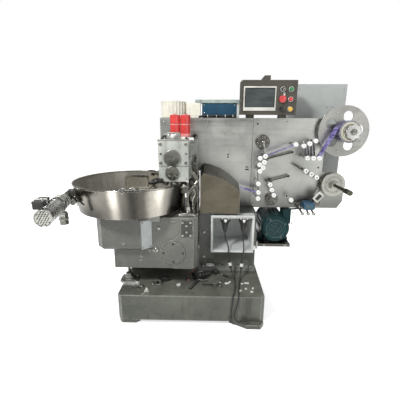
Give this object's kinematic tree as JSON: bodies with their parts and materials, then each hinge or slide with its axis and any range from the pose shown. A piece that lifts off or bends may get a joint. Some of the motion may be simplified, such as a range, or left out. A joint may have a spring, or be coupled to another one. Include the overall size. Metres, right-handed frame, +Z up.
{
  "type": "candy wrapping machine",
  "caption": "Twist wrapping machine for sweets: round feed pan, wrapping head, film reels with guide rollers, gearbox on a cast base, motor and operator panel.",
  "frame": {"origin": "bottom centre of the whole machine's box, on the floor it stands on", "axes": "+Z up, +X along the machine's length towards the film reels, -Y towards the operator at the front"},
  "size_m": [1.8957, 1.2594, 1.489],
  "materials": {
    "base_paint": "worn grey machine enamel",
    "body_paint": "worn grey-green machine enamel",
    "dark_paint": "dark grey machine enamel",
    "cabinet_paint": "pale blue-grey sheet metal enamel",
    "head_paint": "pale ground and painted steel",
    "plate_steel": "brushed stainless plate",
    "polished_steel": "polished stainless sheet with soft reflections",
    "machined_steel": "turned and milled steel, lightly oiled",
    "dark_steel": "blackened, oily steel",
    "cast_metal": "machined casting",
    "motor_grey": "grey motor enamel",
    "motor_teal": "dark teal motor enamel",
    "box_paint": "grey enamel inside a white frame",
    "panel_paint": "brown-grey textured enamel",
    "bezel_plastic": "off-white moulded bezel",
    "screen_glass": "dark screen, switched off",
    "button_plastic": "push buttons in several colours",
    "black_plastic": "black moulded plastic",
    "black_rubber": "black rubber lead sheath, a little dusty",
    "cream_plastic": "cream moulded plastic",
    "white_plastic": "white turned plastic",
    "blue_paint": "blue enamel",
    "red_plastic": "red translucent plastic",
    "film_purple": "wound plastic film, purple"
  },
  "bodies": {
    "machine": {"base_feet": "base_paint", "base_plinth": "base_paint", "brush_arm": "dark_steel", "brush_gearbox": "machined_steel", "brush_motor": "motor_grey", "column": "dark_paint", "control_cabinet": "cabinet_paint", "cup_bracket": "machined_steel", "drum_case": "cream_plastic", "feed_pan": "polished_steel", "gearbox_body": "body_paint", "gearbox_covers": "body_paint", "gearbox_pedestal": "body_paint", "guide_rollers": "white_plastic", "head_block": "head_paint", "head_discs": "machined_steel", "head_plates": "head_paint", "lead_left": "black_rubber", "lead_left_fittings": "black_plastic", "lead_right": "black_rubber", "lead_right_fittings": "black_plastic", "linkage_frame": "dark_paint", "linkage_rods": "dark_steel", "main_motor": "motor_teal", "main_plate_left": "plate_steel", "main_plate_right": "plate_steel", "motor_bracket": "dark_paint", "motor_cowl": "motor_teal", "motor_terminal_box": "motor_teal", "operator_panel": "panel_paint", "pan_bearing": "cast_metal", "pan_disc": "polished_steel", "pan_fittings": "machined_steel", "panel_buttons": "button_plastic", "panel_feet": "dark_steel", "panel_glass": "screen_glass", "panel_screen": "bezel_plastic", "plate_bosses": "machined_steel", "rear_housing": "body_paint", "red_cups": "red_plastic", "reel_arms": "machined_steel", "ribbed_drum": "cream_plastic", "roller_bar": "machined_steel", "socket_box": "box_paint", "sockets": "black_plastic", "supply_box": "blue_paint", "supply_lid": "cream_plastic", "support_jack": "dark_steel", "turntable_housing": "body_paint", "valve_plate": "dark_paint", "web_sensor": "blue_paint", "wheel_guard": "polished_steel"},
    "upper_reel": {"upper_reel_disc": "plate_steel", "film_roll": "film_purple", "reel_core": "cream_plastic", "reel_knob": "white_plastic"},
    "lower_reel": {"lower_reel_hub": "machined_steel", "lower_spindle": "dark_steel"},
    "upper_lever": {"tension_lever_upper": "dark_steel"},
    "lower_lever": {"tension_lever_lower": "dark_steel"}
  },
  "joints": [
    {"name": "upper_reel_spin", "type": "hinge", "parent": "machine", "child": "upper_reel", "pos_m": [0.78286, 0.16467, 1.145], "axis": [0, 1, 0], "continuous": true},
    {"name": "lower_reel_spin", "type": "hinge", "parent": "machine", "child": "lower_reel", "pos_m": [0.75386, 0.15666, 0.789], "axis": [0, 1, 0], "continuous": true},
    {"name": "upper_lever_swing", "type": "hinge", "parent": "machine", "child": "upper_lever", "pos_m": [0.29286, 0.17267, 0.96], "axis": [0, 1, 0], "range_deg": [-12, 12]},
    {"name": "lower_lever_swing", "type": "hinge", "parent": "machine", "child": "lower_lever", "pos_m": [0.33086, 0.17267, 0.812], "axis": [0, 1, 0], "range_deg": [-12, 12]}
  ]
}
